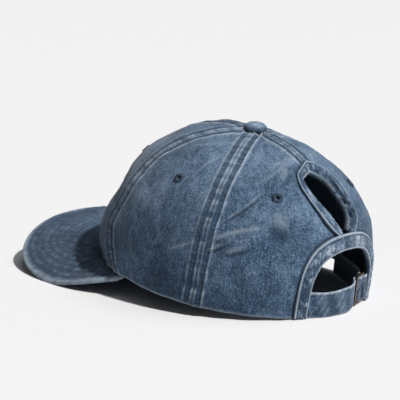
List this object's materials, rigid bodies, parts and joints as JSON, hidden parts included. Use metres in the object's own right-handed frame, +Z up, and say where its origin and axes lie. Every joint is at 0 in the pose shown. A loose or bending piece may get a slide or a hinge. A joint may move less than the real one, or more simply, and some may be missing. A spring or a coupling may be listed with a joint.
{
  "type": "ponytail baseball cap",
  "caption": "Soft curved-peak cap in washed denim with stitched panels, a top button, a bound ponytail slit over an arched back opening, and an adjusting strap with a slide.",
  "frame": {"origin": "middle of the resting cap's bounding box, on the surface it stands on", "axes": "+Z up, the peak points to -Y, the wearer's left is +X"},
  "size_m": [0.1862, 0.277, 0.1153],
  "materials": {
    "denim": "washed slate-blue cotton denim with worn, lighter seam edges and stitched rows",
    "eyelet_thread": "dark blue embroidered thread",
    "slide_bronze": "aged bronze, satin"
  },
  "bodies": {
    "root": {"front_panel_left": "denim", "front_panel_right": "denim", "side_panel_left": "denim", "side_panel_right": "denim", "back_panel_left": "denim", "back_panel_right": "denim", "peak": "denim", "arch_binding": "denim", "slit_binding": "denim", "strap": "denim", "strap_tab": "denim", "top_button": "denim", "eyelet_front_left": "eyelet_thread", "eyelet_side_left": "eyelet_thread", "eyelet_back_left": "eyelet_thread", "eyelet_front_right": "eyelet_thread", "eyelet_side_right": "eyelet_thread", "eyelet_back_right": "eyelet_thread", "strap_slide": "slide_bronze"}
  },
  "joints": []
}
